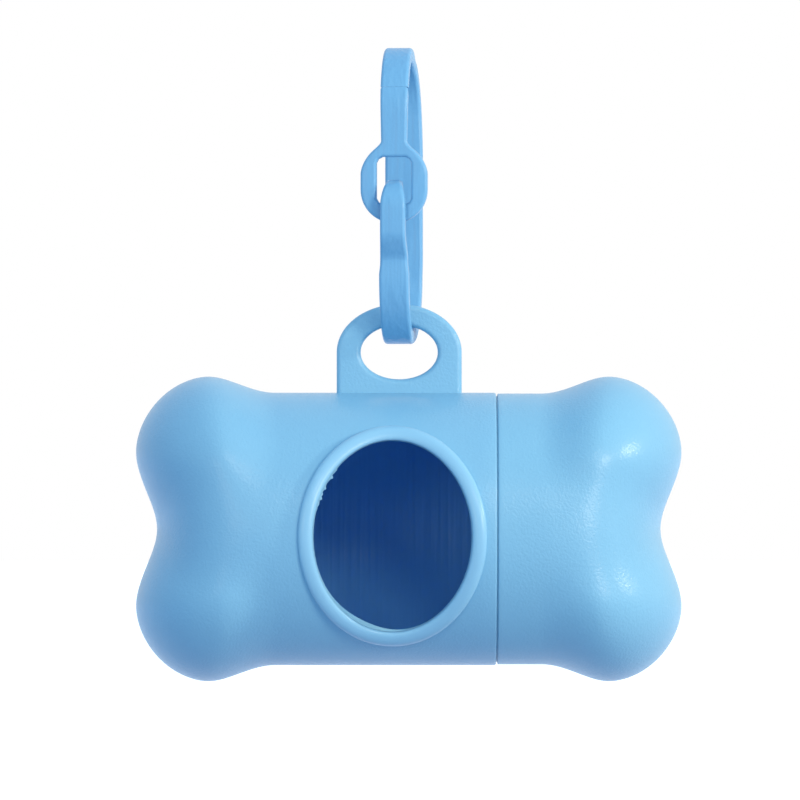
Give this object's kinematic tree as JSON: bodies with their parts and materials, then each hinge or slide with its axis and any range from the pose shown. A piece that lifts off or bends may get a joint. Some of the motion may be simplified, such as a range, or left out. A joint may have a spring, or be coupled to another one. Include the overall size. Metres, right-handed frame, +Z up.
{
  "type": "waste bag dispenser",
  "caption": "Bone-shaped plastic case for a roll of dog waste bags, with an oval window, a pull-off end cap and a clip that hangs it from a lead.",
  "frame": {"origin": "inside top of the clip's loop, where the lead's ring bears", "axes": "+Z up, as the dispenser hangs; +X along the bone towards the end cap; -Y is the front with the bag window"},
  "size_m": [0.0829, 0.0423, 0.0962],
  "materials": {
    "clip_plastic": "satin light blue, moulded",
    "case_plastic": "satin light blue with a fine grain, moulded",
    "cap_plastic": "satin light blue with a fine grain, moulded"
  },
  "bodies": {
    "clip": {"clip": "clip_plastic"},
    "gate": {"clip_gate": "clip_plastic"},
    "case": {"case_body": "case_plastic"},
    "cap": {"end_cap": "cap_plastic"}
  },
  "joints": [
    {"name": "gate_bend", "type": "hinge", "parent": "clip", "child": "gate", "pos_m": [-0.00077, -0.00954, -0.004], "axis": [0.9968, -0.0802, 0], "range_deg": [0, 35], "stiffness_Nm_per_rad": 0.02},
    {"name": "case_swing", "type": "hinge", "parent": "clip", "child": "case", "pos_m": [0, 0, -0.03835], "axis": [1, 0, 0], "range_deg": [-80, 80]},
    {"name": "cap_pull", "type": "slide", "parent": "case", "child": "cap", "axis": [1, 0, 0], "range_m": [0, 0.07]}
  ]
}
